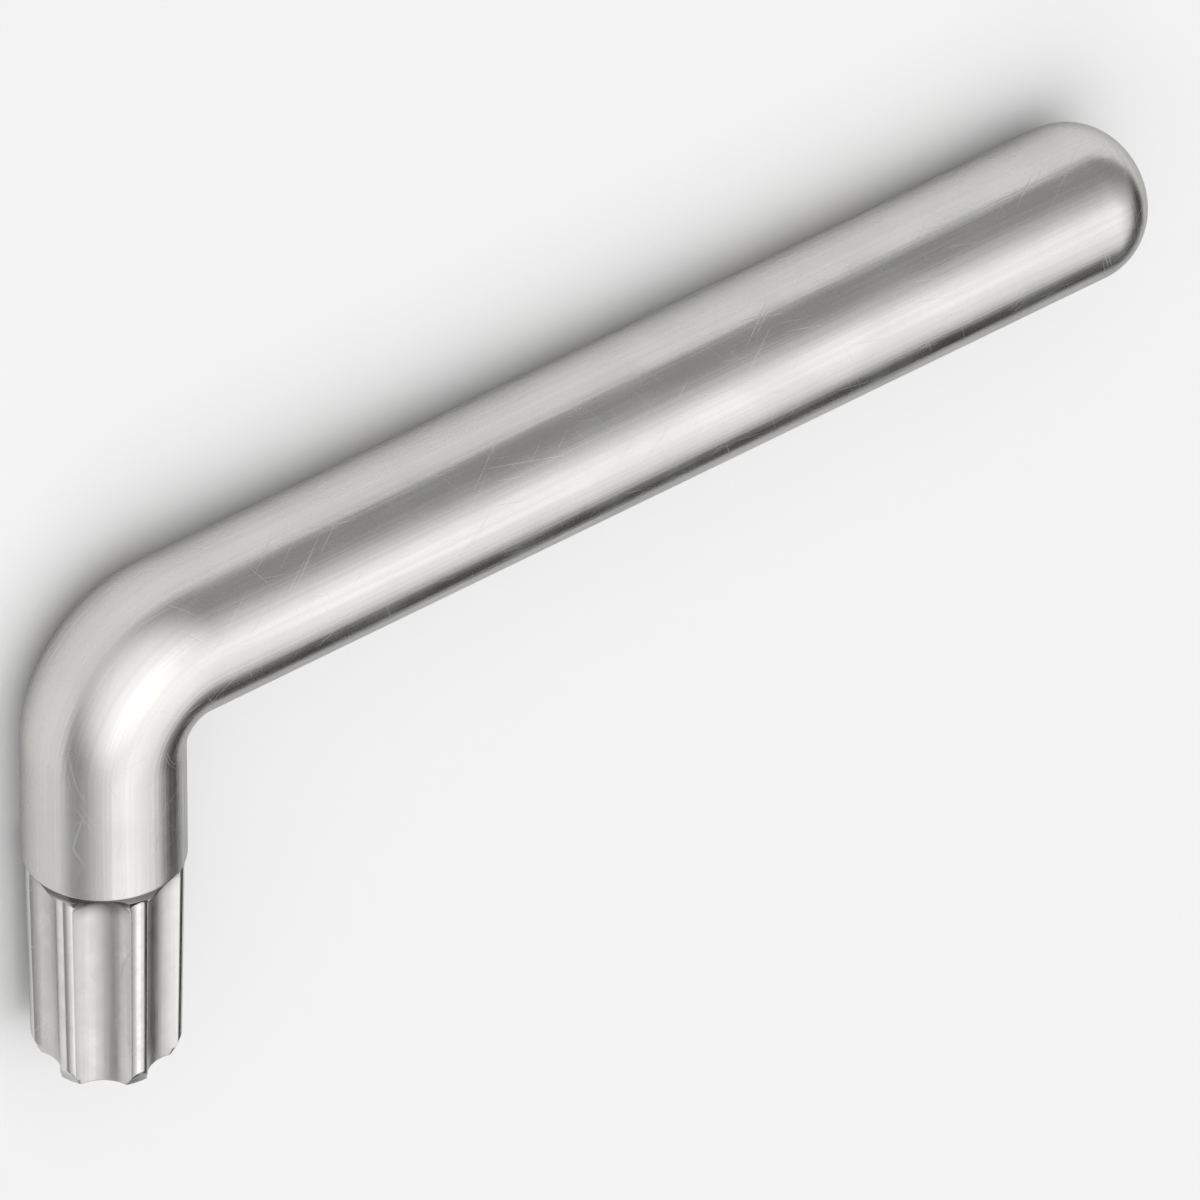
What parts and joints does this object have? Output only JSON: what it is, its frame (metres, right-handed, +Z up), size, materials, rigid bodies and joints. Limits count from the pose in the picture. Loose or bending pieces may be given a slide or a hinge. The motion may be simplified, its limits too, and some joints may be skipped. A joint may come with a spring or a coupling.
{
  "type": "star-drive key",
  "caption": "L-shaped steel key with a six-lobed driving tip on its short arm and a plain round handle arm with a rounded end.",
  "frame": {"origin": "on the bench, below the middle of the key's bounding box; the key lies flat on its side", "axes": "+X along the long arm to its rounded end, -Y along the short arm to the star, +Z up from the bench"},
  "size_m": [0.0498, 0.0202, 0.006],
  "materials": {
    "plated_steel": "satin nickel plate over drawn steel bar"
  },
  "bodies": {
    "root": {"star_key": "plated_steel"}
  },
  "joints": []
}
